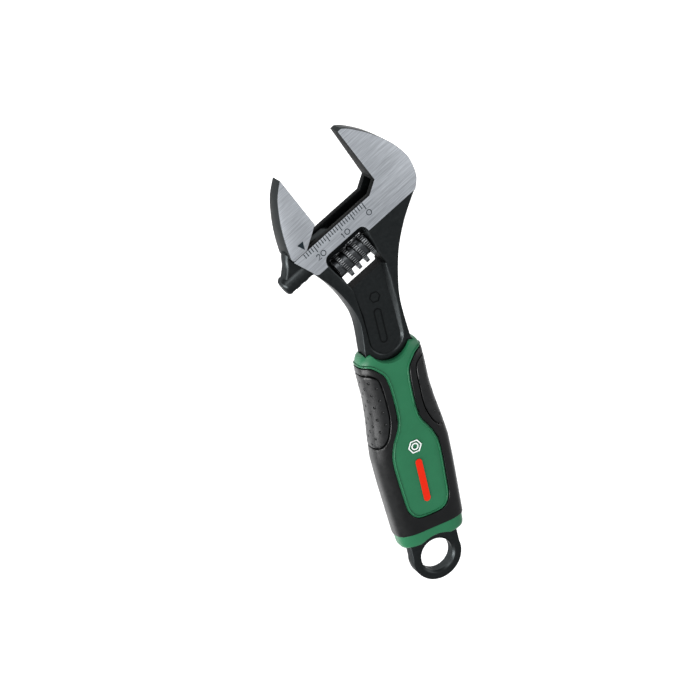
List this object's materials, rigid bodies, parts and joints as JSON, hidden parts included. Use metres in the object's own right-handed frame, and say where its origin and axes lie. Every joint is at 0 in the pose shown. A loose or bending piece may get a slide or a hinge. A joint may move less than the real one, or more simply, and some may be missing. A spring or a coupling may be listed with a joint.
{
  "type": "adjustable wrench",
  "caption": "Adjustable wrench with a worm-driven sliding jaw, an engraved opening scale, a hanging ring and a two-colour moulded grip.",
  "frame": {"origin": "middle of the grip's flat back, where the wrench rests when it lies on its back", "axes": "+Y from the hanging ring to the jaws, +Z out of the front face, +X towards the fixed jaw's side"},
  "size_m": [0.0504, 0.1597, 0.012],
  "materials": {
    "body_steel": "black phosphated steel, bare ground steel on the two faces of the head",
    "jaw_steel": "ground bare steel",
    "worm_steel": "turned bright steel with knurled crests",
    "pin_steel": "drawn steel",
    "green_plastic": "satin moulded",
    "black_rubber": "soft matte",
    "pad_rubber": "pitted satin rubber"
  },
  "bodies": {
    "frame": {"body": "body_steel", "worm_pin": "pin_steel", "worm_spring": "pin_steel", "grip_core": "green_plastic", "grip_overmould": "black_rubber", "left_pad": "pad_rubber", "right_pad": "pad_rubber"},
    "jaw": {"movable_jaw": "jaw_steel"},
    "worm": {"worm_screw": "worm_steel"}
  },
  "joints": [
    {"name": "jaw_slide", "type": "slide", "parent": "frame", "child": "jaw", "axis": [0.9239, 0.3827, 0], "range_m": [-0.001, 0.023]},
    {"name": "worm_spin", "type": "hinge", "parent": "frame", "child": "worm", "pos_m": [-0.00398, 0.06718, 0.006], "axis": [0.9239, 0.3827, 0], "range_deg": [-2590, 113]}
  ],
  "couplings": [
    {"joint": "worm_spin", "follows": "jaw_slide", "rad_per_m": -1951.3}
  ]
}
